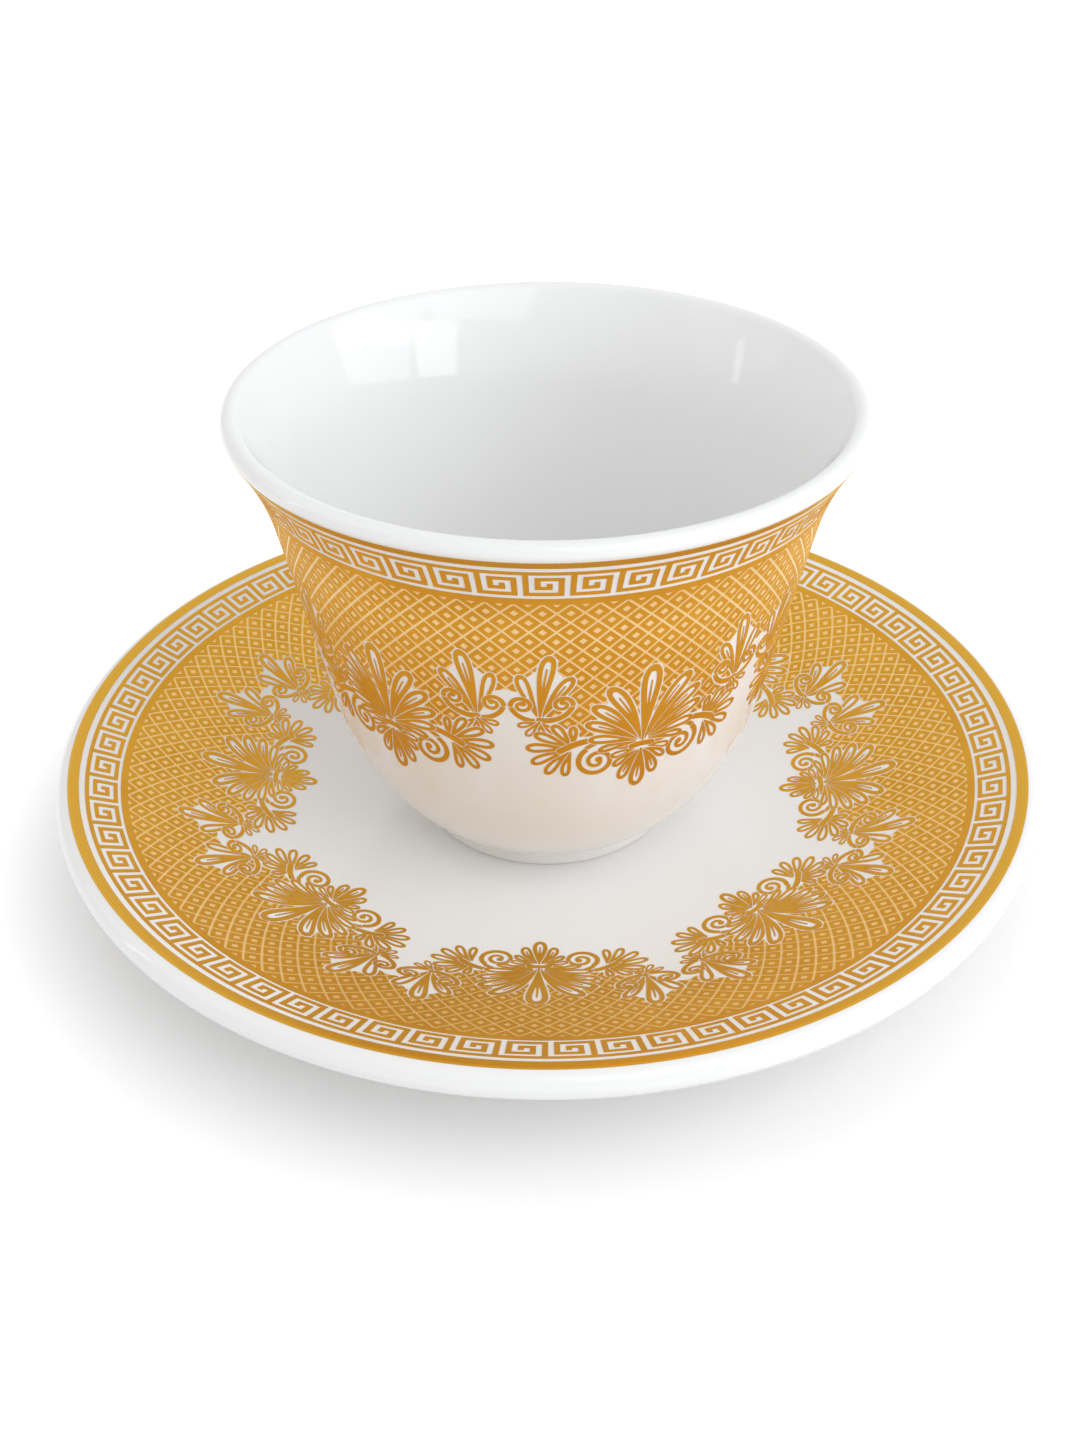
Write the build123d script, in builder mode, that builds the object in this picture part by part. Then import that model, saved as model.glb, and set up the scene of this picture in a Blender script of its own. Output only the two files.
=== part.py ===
from build123d import *
import os
from math import asin, atan2, cos, degrees, pi, radians, sin, sqrt, tan

# A handleless porcelain coffee cup standing on its saucer, both with bands of gold fired on the glaze.
# Millimetres, +Z up. The origin is on the table, under the centre of the saucer.

# Saucer
SAUCER_D = 118.0         # over the rolled rim
SAUCER_HEIGHT = 15.6     # table to the crest of the rim
SAUCER_WALL = 3.5        # the rim is rolled to a half round of this width
SAUCER_WELL_DEPTH = 10.1  # crest of the rim down to the flat well
SAUCER_WELL_D = 63.2     # across the bend where the rim's slope meets the well
SAUCER_BEND_R = 49.5     # roundness of that bend
SAUCER_FOOT_D = 68.0     # outside of the foot ring
SAUCER_FOOT_W = 3.0
SAUCER_FOOT_EDGE_R = 0.8

# Cup
CUP_RIM_D = 70.0         # over the lip
CUP_HEIGHT = 53.6        # foot to the top of the lip
CUP_WALL = 2.2           # the lip is a half round of this width
CUP_FOOT_D = 30.4        # outside of the foot ring
CUP_FOOT_H = 2.3
CUP_FOOT_W = 2.4
CUP_FOOT_EDGE_R = 0.4
CUP_FOOT_STEP = 1.0      # how far the bowl overhangs the foot ring
CUP_BELLY_OUT = 6.9      # how far the straight wall's line, taken down to the foot, stands outside it
CUP_BELLY_R = 29.0       # the round belly between the foot and the straight wall
CUP_FLARE_OUT = 2.17     # how far the lip stands outside the straight wall's line
CUP_FLARE_R = 31.0       # the hollow flare between the straight wall and the lip
CUP_FLOOR_H = 4.8        # inside floor above the foot
CUP_FLOOR_R = 9.0        # rounding between the floor and the inside wall

# Gold
GOLD_T = 0.08            # thickness of every gold film
GOLD_LIFT = 0.04         # hairline between a film and the glaze, so that their facets never cross

# Gold on the cup, as heights down from the lip
CUP_TURN = -8.0          # degrees that the cup's pattern is turned from the X axis
CUP_LINE_DROP = 1.8      # bare lip above the gold line
CUP_LINE_W = 0.8
CUP_LINE_GAP = 0.6       # bare line under the gold line
CUP_KEY_W = 3.5
CUP_FIELD_GAP = 0.45     # bare line under the key band
CUP_LATTICE_W = 11.5
CUP_LEAF_W = 16.2
CUP_REPEATS = 6          # bays in the leaf border
CUP_BAY_RISE = 12.5      # height of a bay above the border's lower edge
CUP_BAY_W = 13.0
CUP_BAY_R = 16.0         # roundness of the bay's two sides

# Gold on the saucer, as radii in from its edge
SAUCER_TURN = -1.5       # degrees that the saucer's pattern is turned from the X axis
SAUCER_LINE_DROP = 1.55  # bare rolled edge outside the gold line
SAUCER_LINE_W = 1.25
SAUCER_LINE_GAP = 0.65
SAUCER_KEY_W = 3.55
SAUCER_FIELD_GAP = 0.35
SAUCER_LATTICE_W = 6.65
SAUCER_LEAF_W = 15.5
SAUCER_REPEATS = 8
SAUCER_BAY_RISE = 11.2
SAUCER_BAY_W = 12.0
SAUCER_BAY_R = 15.0


def arc_about(centre, start, end):
    """The arc about centre from start to end, the short way round."""
    out, back = start - centre, end - centre
    return ThreePointArc(start, centre + (out + back).normalized() * out.length, end)


def along_line(start, direction, target, reach, way):
    """The point of a line, up (way 1) or down (way -1) from target, that lies reach away from target."""
    nearest = start + direction * (target - start).dot(direction)
    across = (target - nearest).length
    return nearest + direction * (way * sqrt(reach ** 2 - across ** 2))


# Section of the saucer: radius across, height up. The slope of the rim runs from the bend to the roll.
WELL_Z = SAUCER_HEIGHT - SAUCER_WELL_DEPTH
ROLL_R = SAUCER_WALL / 2
ROLL_C = Vector(SAUCER_D / 2 - ROLL_R, SAUCER_HEIGHT - ROLL_R)
BEND_CORNER = Vector(SAUCER_WELL_D / 2, WELL_Z)
to_roll = ROLL_C - BEND_CORNER
RIM_SLOPE = atan2(to_roll.Y, to_roll.X) + asin(ROLL_R / to_roll.length)
RIM_ALONG = Vector(cos(RIM_SLOPE), sin(RIM_SLOPE))
RIM_UP = Vector(-sin(RIM_SLOPE), cos(RIM_SLOPE))
BEND_C = Vector(SAUCER_WELL_D / 2 - SAUCER_BEND_R * tan(RIM_SLOPE / 2), WELL_Z + SAUCER_BEND_R)

# Section of the cup. The straight wall's line runs between a point by the foot and one by the lip.
CUP_TOP = WELL_Z + CUP_HEIGHT
LIP_R = CUP_WALL / 2
LIP_C = Vector(CUP_RIM_D / 2 - LIP_R, CUP_TOP - LIP_R)
FOOT_CORNER = Vector(CUP_FOOT_D / 2 + CUP_FOOT_STEP, WELL_Z + CUP_FOOT_H)
WALL_LOW = Vector(CUP_FOOT_D / 2 + CUP_BELLY_OUT, FOOT_CORNER.Y)
WALL_HIGH = Vector(CUP_RIM_D / 2 - CUP_FLARE_OUT, LIP_C.Y)
WALL_LEAN = atan2(WALL_HIGH.X - WALL_LOW.X, WALL_HIGH.Y - WALL_LOW.Y)
WALL_UP = Vector(sin(WALL_LEAN), cos(WALL_LEAN))
WALL_OUT = Vector(cos(WALL_LEAN), -sin(WALL_LEAN))
BELLY_C = along_line(WALL_LOW - WALL_OUT * CUP_BELLY_R, WALL_UP, FOOT_CORNER, CUP_BELLY_R, 1)
FLARE_C = along_line(WALL_HIGH + WALL_OUT * CUP_FLARE_R, WALL_UP, LIP_C, CUP_FLARE_R + LIP_R, -1)
BELLY_FROM = (FOOT_CORNER - BELLY_C).normalized()
FLARE_TO = (LIP_C - FLARE_C).normalized()


def rim_top(grow):
    """Where the saucer's slope meets its roll, on a face that lies grow above the glaze."""
    return ROLL_C + RIM_UP * (ROLL_R + grow)


def bend_ends(grow):
    """Both ends of the bend round the well, on a face that lies grow above the glaze."""
    radius = SAUCER_BEND_R - grow
    return BEND_C - Vector(0, radius), BEND_C - RIM_UP * radius


def saucer_under(grow):
    """Section of all that lies under the saucer's top face, with that face raised by grow."""
    flat_end, slope_start = bend_ends(grow)
    edge = ROLL_C + Vector(ROLL_R + grow, 0)
    with BuildSketch(Plane.XZ) as section:
        with BuildLine():
            Line((0, flat_end.Y), flat_end)
            arc_about(BEND_C, flat_end, slope_start)
            Line(slope_start, rim_top(grow))
            arc_about(ROLL_C, rim_top(grow), edge)
            Polyline(edge, (edge.X, 0), (0, 0), (0, flat_end.Y))
        make_face()
    return section.sketch_local


def saucer_shell():
    """Section of the saucer without its foot ring: one even wall with a rolled rim."""
    flat_end, slope_start = bend_ends(0)
    flat_end_below, slope_start_below = bend_ends(-SAUCER_WALL)
    rim_bottom = rim_top(-SAUCER_WALL)
    with BuildSketch(Plane.XZ) as section:
        with BuildLine():
            Line((0, flat_end.Y), flat_end)
            arc_about(BEND_C, flat_end, slope_start)
            Line(slope_start, rim_top(0))
            ThreePointArc(rim_top(0), ROLL_C + RIM_ALONG * ROLL_R, rim_bottom)
            Line(rim_bottom, slope_start_below)
            arc_about(BEND_C, slope_start_below, flat_end_below)
            Polyline(flat_end_below, (0, flat_end_below.Y), (0, flat_end.Y))
        make_face()
    return section.sketch_local


def cup_side(grow):
    """The four points of the cup's side, lip to foot, on a face that lies grow outside the glaze."""
    return [
        FLARE_C + FLARE_TO * (CUP_FLARE_R - grow),
        FLARE_C - WALL_OUT * (CUP_FLARE_R - grow),
        BELLY_C + WALL_OUT * (CUP_BELLY_R + grow),
        BELLY_C + BELLY_FROM * (CUP_BELLY_R + grow),
    ]


def cup_within(grow):
    """Section of all that lies inside the cup's side, with that side moved out by grow."""
    lip, flare, belly, foot = cup_side(grow)
    with BuildSketch(Plane.XZ) as section:
        with BuildLine():
            arc_about(FLARE_C, lip, flare)
            Line(flare, belly)
            arc_about(BELLY_C, belly, foot)
            Polyline(foot, (0, foot.Y), (0, lip.Y), lip)
        make_face()
    return section.sketch_local


def cup_film(low, high):
    """Section of a gold film on the cup's side, between two heights."""
    with BuildSketch(Plane.XZ) as section:
        add(cup_within(GOLD_LIFT + GOLD_T))
        with Locations((0, low)):
            Rectangle(CUP_RIM_D, high - low, align=(Align.MIN, Align.MIN), mode=Mode.INTERSECT)
        add(cup_within(GOLD_LIFT), mode=Mode.SUBTRACT)
    return section.sketch_local


def saucer_film(inner, outer):
    """Section of a gold film on the saucer's top face, between two radii."""
    with BuildSketch(Plane.XZ) as section:
        add(saucer_under(GOLD_LIFT + GOLD_T))
        with Locations((inner, 0)):
            Rectangle(outer - inner, SAUCER_D, align=(Align.MIN, Align.MIN), mode=Mode.INTERSECT)
        add(saucer_under(GOLD_LIFT), mode=Mode.SUBTRACT)
    return section.sketch_local


def bay(low, rise, width, roundness):
    """A pointed arch, open below, that stands on the line low along the sketch's Y."""
    peak = (0, low + rise)
    with BuildSketch() as section:
        with BuildLine():
            RadiusArc((-width / 2, low), peak, roundness)
            RadiusArc(peak, (width / 2, low), roundness)
            Polyline((width / 2, low), (width / 2, low - rise), (-width / 2, low - rise), (-width / 2, low))
        make_face()
    return section.sketch_local


def turns(count, turn):
    """Angles of the bays, with the first pendant turn degrees from +X and a bay between each two pendants."""
    return [radians(turn) + 2 * pi * (number + 0.5) / count for number in range(count)]


# The saucer's porcelain
with BuildPart() as saucer_body:
    with BuildSketch(Plane.XZ):
        add(saucer_under(0))
        with Locations((SAUCER_FOOT_D / 2, 0)):
            Rectangle(SAUCER_FOOT_W, SAUCER_HEIGHT, align=(Align.MAX, Align.MIN), mode=Mode.INTERSECT)
        add(saucer_shell())
    revolve(axis=Axis.Z)
    fillet(saucer_body.edges().group_by(Axis.Z)[0], SAUCER_FOOT_EDGE_R)
saucer_body.part.label = "saucer_body"

# The cup's porcelain
floor_z = WELL_Z + CUP_FLOOR_H
inside_belly_r = CUP_BELLY_R - CUP_WALL
floor_round_z = floor_z + CUP_FLOOR_R
floor_round_r = BELLY_C.X + sqrt((inside_belly_r - CUP_FLOOR_R) ** 2 - (floor_round_z - BELLY_C.Y) ** 2)
FLOOR_C = Vector(floor_round_r, floor_round_z)
floor_meets_belly = BELLY_C + (FLOOR_C - BELLY_C).normalized() * inside_belly_r
floor_edge = Vector(FLOOR_C.X, floor_z)
foot_in = CUP_FOOT_D / 2 - CUP_FOOT_W
foot_out = CUP_FOOT_D / 2
lip_out, flare_out, belly_out, foot_corner = cup_side(0)
lip_in, flare_in, belly_in, _ = cup_side(-CUP_WALL)
lip_crown = LIP_C + Vector(FLARE_TO.Y, -FLARE_TO.X) * LIP_R
with BuildPart() as cup_body:
    with BuildSketch(Plane.XZ):
        with BuildLine():
            Polyline((0, FOOT_CORNER.Y), (foot_in, FOOT_CORNER.Y), (foot_in, WELL_Z))
            Polyline((foot_in, WELL_Z), (foot_out, WELL_Z), (foot_out, FOOT_CORNER.Y), foot_corner)
            arc_about(BELLY_C, foot_corner, belly_out)
            Line(belly_out, flare_out)
            arc_about(FLARE_C, flare_out, lip_out)
            ThreePointArc(lip_out, lip_crown, lip_in)
            arc_about(FLARE_C, lip_in, flare_in)
            Line(flare_in, belly_in)
            arc_about(BELLY_C, belly_in, floor_meets_belly)
            arc_about(FLOOR_C, floor_meets_belly, floor_edge)
            Polyline(floor_edge, (0, floor_z), (0, FOOT_CORNER.Y))
        make_face()
    revolve(axis=Axis.Z)
    fillet(cup_body.edges().group_by(Axis.Z)[0], CUP_FOOT_EDGE_R)
cup_body.part.label = "cup_body"

# Gold on the cup, from the lip down
cup_line_low = CUP_TOP - CUP_LINE_DROP - CUP_LINE_W
with BuildPart() as cup_rim_line:
    with BuildSketch(Plane.XZ):
        add(cup_film(cup_line_low, cup_line_low + CUP_LINE_W))
    revolve(axis=Axis.Z)
cup_rim_line.part.label = "cup_rim_line"

cup_key_low = cup_line_low - CUP_LINE_GAP - CUP_KEY_W
with BuildPart() as cup_key_band:
    with BuildSketch(Plane.XZ):
        add(cup_film(cup_key_low, cup_key_low + CUP_KEY_W))
    revolve(axis=Axis.Z)
cup_key_band.part.label = "cup_key_band"

cup_lattice_low = cup_key_low - CUP_FIELD_GAP - CUP_LATTICE_W
with BuildPart() as cup_lattice_band:
    with BuildSketch(Plane.XZ):
        add(cup_film(cup_lattice_low, cup_lattice_low + CUP_LATTICE_W))
    revolve(axis=Axis.Z)
cup_lattice_band.part.label = "cup_lattice_band"

cup_leaf_low = cup_lattice_low - CUP_LEAF_W
cup_bays = turns(CUP_REPEATS, CUP_TURN)
facing_bays = [Plane((0, 0, 0), (-sin(a), cos(a), 0), (cos(a), sin(a), 0)) for a in cup_bays]
with BuildPart() as cup_leaf_border:
    with BuildSketch(Plane.XZ):
        add(cup_film(cup_leaf_low, cup_leaf_low + CUP_LEAF_W))
    revolve(axis=Axis.Z)
    with BuildSketch(*facing_bays):
        add(bay(cup_leaf_low, CUP_BAY_RISE, CUP_BAY_W, CUP_BAY_R))
    extrude(amount=CUP_RIM_D / 2, mode=Mode.SUBTRACT)
cup_leaf_border.part.label = "cup_leaf_border"

# Gold on the saucer, from the edge in
saucer_line_in = SAUCER_D / 2 - SAUCER_LINE_DROP - SAUCER_LINE_W
with BuildPart() as saucer_rim_line:
    with BuildSketch(Plane.XZ):
        add(saucer_film(saucer_line_in, saucer_line_in + SAUCER_LINE_W))
    revolve(axis=Axis.Z)
saucer_rim_line.part.label = "saucer_rim_line"

saucer_key_in = saucer_line_in - SAUCER_LINE_GAP - SAUCER_KEY_W
with BuildPart() as saucer_key_band:
    with BuildSketch(Plane.XZ):
        add(saucer_film(saucer_key_in, saucer_key_in + SAUCER_KEY_W))
    revolve(axis=Axis.Z)
saucer_key_band.part.label = "saucer_key_band"

saucer_lattice_in = saucer_key_in - SAUCER_FIELD_GAP - SAUCER_LATTICE_W
with BuildPart() as saucer_lattice_band:
    with BuildSketch(Plane.XZ):
        add(saucer_film(saucer_lattice_in, saucer_lattice_in + SAUCER_LATTICE_W))
    revolve(axis=Axis.Z)
saucer_lattice_band.part.label = "saucer_lattice_band"

saucer_leaf_in = saucer_lattice_in - SAUCER_LEAF_W
saucer_bays = turns(SAUCER_REPEATS, SAUCER_TURN)
over_bays = [Plane((0, 0, 0), (sin(a), -cos(a), 0), (0, 0, 1)) for a in saucer_bays]
with BuildPart() as saucer_leaf_border:
    with BuildSketch(Plane.XZ):
        add(saucer_film(saucer_leaf_in, saucer_leaf_in + SAUCER_LEAF_W))
    revolve(axis=Axis.Z)
    with BuildSketch(*over_bays):
        add(bay(saucer_leaf_in, SAUCER_BAY_RISE, SAUCER_BAY_W, SAUCER_BAY_R))
    extrude(amount=SAUCER_HEIGHT + GOLD_LIFT + GOLD_T, mode=Mode.SUBTRACT)
saucer_leaf_border.part.label = "saucer_leaf_border"

print(f"wall lean {degrees(WALL_LEAN):.1f} degrees, rim slope {degrees(RIM_SLOPE):.1f} degrees")
print(f"cup top {CUP_TOP:.1f} mm above the table, flat well {2 * BEND_C.X:.1f} mm across")

pieces = [
    saucer_body, saucer_rim_line, saucer_key_band, saucer_lattice_band, saucer_leaf_border,
    cup_body, cup_rim_line, cup_key_band, cup_lattice_band, cup_leaf_border,
]
os.makedirs("parts", exist_ok=True)
for piece in pieces:
    export_step(piece.part, f"parts/{piece.part.label}.step")
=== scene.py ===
"""White porcelain coffee cup on its saucer, with gold fired on the glaze, dressed on the CAD frame."""

from functools import partial
from math import asin, atan2, ceil, cos, floor, pi, radians, sin, sqrt, tan
from types import SimpleNamespace

import bmesh
import bpy
import numpy as np
from mathutils import Matrix, Vector
from mathutils.geometry import delaunay_2d_cdt


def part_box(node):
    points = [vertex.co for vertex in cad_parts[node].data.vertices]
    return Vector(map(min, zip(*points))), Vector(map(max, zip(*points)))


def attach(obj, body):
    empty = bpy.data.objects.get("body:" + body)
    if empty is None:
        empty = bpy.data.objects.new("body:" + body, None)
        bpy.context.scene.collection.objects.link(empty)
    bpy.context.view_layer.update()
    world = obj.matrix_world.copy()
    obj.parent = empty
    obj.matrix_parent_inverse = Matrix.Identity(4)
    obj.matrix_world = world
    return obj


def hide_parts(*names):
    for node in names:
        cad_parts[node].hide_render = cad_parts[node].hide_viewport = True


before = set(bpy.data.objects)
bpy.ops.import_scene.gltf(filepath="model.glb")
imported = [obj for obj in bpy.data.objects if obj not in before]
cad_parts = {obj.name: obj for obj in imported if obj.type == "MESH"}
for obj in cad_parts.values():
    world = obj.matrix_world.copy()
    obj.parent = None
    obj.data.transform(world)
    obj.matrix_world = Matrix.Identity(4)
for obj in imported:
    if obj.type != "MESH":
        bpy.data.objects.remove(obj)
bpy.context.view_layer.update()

bl_info = {
    "name": "Coffee cup and saucer",
    "version": (1, 0, 0),
    "blender": (4, 5, 0),
    "location": "3D View > Sidebar > Coffee cup",
    "description": "Porcelain coffee cup on a saucer, with a gold line, key, lattice and garland on both",
    "category": "Add Mesh",
}

MM = 0.001
SAUCER_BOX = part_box("saucer_body")
CUP_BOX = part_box("cup_body")


def linear(code):
    """An sRGB hex colour as linear red, green, blue and alpha."""
    shares = [int(code[place:place + 2], 16) / 255 for place in (1, 3, 5)]
    return [s / 12.92 if s <= 0.04045 else ((s + 0.055) / 1.055) ** 2.4 for s in shares] + [1.0]


def length(name, description, millimetres):
    """A size that a user can set, kept in metres."""
    return bpy.props.FloatProperty(
        name=name, description=description, default=millimetres * MM, unit="LENGTH", precision=5)


def turn(name, description, degrees):
    """An angle that a user can set."""
    return bpy.props.FloatProperty(
        name=name, description=description, default=radians(degrees), unit="ROTATION", subtype="ANGLE")


def colour(name, description, code):
    """A colour that a user can set."""
    return bpy.props.FloatVectorProperty(
        name=name, description=description, default=linear(code), size=4, min=0, max=1, subtype="COLOR")


def count(name, description, default):
    """A number of repeats that a user can set."""
    return bpy.props.IntProperty(name=name, description=description, default=default, min=3)


class SaucerSizes(bpy.types.PropertyGroup):
    """The saucer's porcelain."""
    diameter: length("Diameter", "Over the rolled rim", 2 * SAUCER_BOX[1].x / MM)
    height: length("Height", "Table to the crest of the rim", SAUCER_BOX[1].z / MM)
    well: length("Well", "Table to the flat well, where the cup stands", CUP_BOX[0].z / MM)
    wall: length("Wall", "Thickness, and the width of the rolled rim", 3.5)
    well_across: length("Well across", "Where the rim's slope, drawn on, meets the well", 63.2)
    bend: length("Bend", "Roundness of the bend between well and rim", 49.5)
    foot: length("Foot", "Outside diameter of the foot ring", 68.0)
    foot_width: length("Foot width", "Width of the foot ring", 3.0)
    foot_edge: length("Foot edge", "Rounding of the foot ring's edges", 0.8)


class CupSizes(bpy.types.PropertyGroup):
    """The cup's porcelain."""
    diameter: length("Diameter", "Over the lip", 2 * CUP_BOX[1].x / MM)
    height: length("Height", "Foot to the top of the lip", (CUP_BOX[1].z - CUP_BOX[0].z) / MM)
    wall: length("Wall", "Thickness, and the width of the rounded lip", 2.2)
    foot: length("Foot", "Outside diameter of the foot ring", 30.4)
    foot_height: length("Foot height", "Height of the foot ring", 2.3)
    foot_width: length("Foot width", "Width of the foot ring", 2.4)
    foot_edge: length("Foot edge", "Rounding of the foot ring's edges", 0.4)
    foot_step: length("Foot step", "How far the bowl overhangs the foot ring", 1.0)
    belly_out: length("Belly out", "How far the wall's line, drawn down to the foot, is outside it", 6.9)
    belly: length("Belly", "Radius of the round belly", 29.0)
    flare_out: length("Flare out", "How far the lip stands outside the wall's line", 2.17)
    flare: length("Flare", "Radius of the hollow flare under the lip", 31.0)
    floor_height: length("Floor", "Inside floor above the foot", 4.8)
    floor_round: length("Floor rounding", "Rounding between the floor and the inside wall", 9.0)


class GoldSizes(bpy.types.PropertyGroup):
    """The gold on both pieces."""
    relief: length("Relief", "How far the gold stands above the glaze", 0.05)
    wash: length("Wash", "How far the thin gold under the lattice stands above the glaze", 0.02)
    root: length("Root", "How far the gold's edges reach into the glaze", 0.03)
    strip: length("Strip", "Plain gold between the key and the lattice", 0.8)
    line: length("Line", "Line of thin gold between two diamonds", 0.26)
    dot: length("Dot", "Half of the thin gold inside each diamond", 0.30)
    halo: length("Halo", "Bare glaze kept round the garland", 0.18)
    cup_turn: turn("Cup turn", "Turn of the cup's garland", -8.25)
    cup_key_turn: turn("Cup key turn", "Turn of the cup's key", -3.9)
    saucer_turn: turn("Saucer turn", "Turn of the saucer's garland", -1.6)
    saucer_key_turn: turn("Saucer key turn", "Turn of the saucer's key", 2.5)
    cup_keys: count("Cup keys", "Keys round the cup", 46)
    saucer_keys: count("Saucer keys", "Keys round the saucer", 72)
    cup_repeats: count("Cup repeats", "Pendants round the cup", 6)
    saucer_repeats: count("Saucer repeats", "Pendants round the saucer", 8)
    cup_diamonds: count("Cup diamonds", "Diamonds across one repeat on the cup", 12)
    saucer_diamonds: count("Saucer diamonds", "Diamonds across one repeat on the saucer", 14)
    diamond: length("Diamond", "Height of a diamond", 2.53)
    saucer_line: length("Saucer line", "Width of the gold line on the saucer's rim", 1.25)
    saucer_key: length("Saucer key", "Width of the key band on the saucer", 3.55)
    saucer_tip: length("Saucer tip", "Radius that the saucer's pendants reach in to", 29.5)


class Finishes(bpy.types.PropertyGroup):
    """Colours of the glaze, the gold and the stage."""
    porcelain: colour("Porcelain", "White porcelain under clear glaze", "#F5F5F4")
    porcelain_deep: colour("Thick glaze", "The glaze where it lies thickest", "#F0F0EE")
    biscuit: colour("Biscuit", "Bare porcelain where the foot stands", "#E4DED2")
    gold: colour("Gold", "Printed gold at full thickness", "#DEAC3C")
    gold_thin: colour("Worn gold", "Printed gold where the print is thinner", "#CC962E")
    cup_wash: colour("Cup's thin gold", "Thin lustrous gold under the cup's lattice", "#F6DEAC")
    saucer_wash: colour("Saucer's thin gold", "Thin lustrous gold under the saucer's lattice", "#F0CC86")
    line: colour("Gold line", "Gold brushed on as a line", "#DEB040")
    line_thin: colour("Thin gold line", "Gold line between two strokes of the brush", "#CE9A30")
    table: colour("Table", "Plain pale table", "#F7F6F5")


def in_mm(group):
    """A group's sizes as plain values, with the lengths in millimetres."""
    values = SimpleNamespace()
    for name, kind in group.bl_rna.properties.items():
        if kind.type in {"FLOAT", "INT"}:
            value = getattr(group, name)
            setattr(values, name, value / MM if kind.unit == "LENGTH" else value)
    return values


def sizes():
    """All sizes of the scene, in millimetres."""
    scene = bpy.context.scene
    return in_mm(scene.coffee_saucer), in_mm(scene.coffee_cup), in_mm(scene.coffee_gold)


# Sections: points are (radius, height)

EDGE_STEPS = 6      # straight steps in each rounded edge of a foot ring
LIP_STEPS = 14      # straight steps in each half of the cup's lip and of the saucer's rolled rim
BEND_STEPS = 40     # straight steps in each side of the saucer's bend
BELLY_STEPS = 48    # straight steps in the outside of the cup's belly
INSIDE_STEPS = 36   # straight steps in the inside of the cup's belly
FLARE_STEPS = 32    # straight steps in each side of the cup's flare
FLOOR_STEPS = 24    # straight steps in the rounding of the cup's inside floor


def vec(x, y):
    """A point or a direction in a flat drawing."""
    return np.array([x, y], float)


def unit(vector):
    """The same direction with the length 1."""
    return vector / np.hypot(*vector)


def arc(centre, start, end, steps):
    """Points of the short arc about centre from start to end, start and end included."""
    first = atan2(*(start - centre)[::-1])
    sweep = (atan2(*(end - centre)[::-1]) - first + pi) % (2 * pi) - pi
    angles = first + sweep * np.linspace(0, 1, steps + 1)
    return centre + np.hypot(*(start - centre)) * np.stack([np.cos(angles), np.sin(angles)], 1)


def along_line(start, direction, target, reach, way):
    """The point of a line, up (way 1) or down (way -1) from target, that lies reach away from target."""
    nearest = start + direction * np.dot(target - start, direction)
    across = np.hypot(*(target - nearest))
    return nearest + direction * way * sqrt(reach ** 2 - across ** 2)


def saucer_section(size):
    """Centres and directions that the saucer's section is drawn from."""
    part = SimpleNamespace(size=size, roll=size.wall / 2)
    part.roll_centre = vec(size.diameter / 2 - part.roll, size.height - part.roll)
    way = part.roll_centre - vec(size.well_across / 2, size.well)
    part.slope = atan2(way[1], way[0]) + asin(part.roll / np.hypot(*way))
    part.along = vec(cos(part.slope), sin(part.slope))
    part.up = vec(-sin(part.slope), cos(part.slope))
    part.bend_centre = vec(size.well_across / 2 - size.bend * tan(part.slope / 2), size.well + size.bend)
    part.slope_start = part.bend_centre - part.up * size.bend
    part.slope_end = part.roll_centre + part.up * part.roll
    return part


def cup_section(size, stand):
    """Centres and directions that the cup's section is drawn from, with its foot at the height stand."""
    part = SimpleNamespace(size=size, stand=stand, lip=size.wall / 2)
    part.lip_centre = vec(size.diameter / 2 - part.lip, stand + size.height - part.lip)
    part.foot_corner = vec(size.foot / 2 + size.foot_step, stand + size.foot_height)
    low = vec(size.foot / 2 + size.belly_out, part.foot_corner[1])
    high = vec(size.diameter / 2 - size.flare_out, part.lip_centre[1])
    up = unit(high - low)
    part.out = vec(up[1], -up[0])
    part.belly_centre = along_line(low - part.out * size.belly, up, part.foot_corner, size.belly, 1)
    flare_start = high + part.out * size.flare
    part.flare_centre = along_line(flare_start, up, part.lip_centre, size.flare + part.lip, -1)
    part.belly_end = part.belly_centre + part.out * size.belly
    part.flare_start = part.flare_centre - part.out * size.flare
    return part


def saucer_profile(part):
    """The saucer's section, from the middle of its top face round to the middle of its underside."""
    size = part.size
    flat_end = part.bend_centre - vec(0, size.bend)
    under = size.bend + size.wall
    rim_bottom = part.roll_centre - part.up * part.roll
    slope_below = part.bend_centre - part.up * under
    foot_out = size.foot / 2
    foot_in = foot_out - size.foot_width
    edge = size.foot_edge
    rim_out = part.roll_centre + part.along * part.roll
    below = arc(part.bend_centre, slope_below, part.bend_centre - vec(0, under), BEND_STEPS)
    outside = below[below[:, 0] > foot_out]
    inside = below[below[:, 0] < foot_in]
    return np.concatenate([
        [vec(0, flat_end[1])],
        arc(part.bend_centre, flat_end, part.slope_start, BEND_STEPS),
        [part.slope_start * 0.5 + part.slope_end * 0.5],
        arc(part.roll_centre, part.slope_end, rim_out, LIP_STEPS),
        arc(part.roll_centre, rim_out, rim_bottom, LIP_STEPS)[1:],
        outside,
        [vec(foot_out, np.interp(foot_out, below[::-1, 0], below[::-1, 1]))],
        arc(vec(foot_out - edge, edge), vec(foot_out, edge), vec(foot_out - edge, 0), EDGE_STEPS),
        arc(vec(foot_in + edge, edge), vec(foot_in + edge, 0), vec(foot_in, edge), EDGE_STEPS),
        [vec(foot_in, np.interp(foot_in, below[::-1, 0], below[::-1, 1]))],
        inside,
        [vec(0, below[-1, 1])],
    ])


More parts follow.
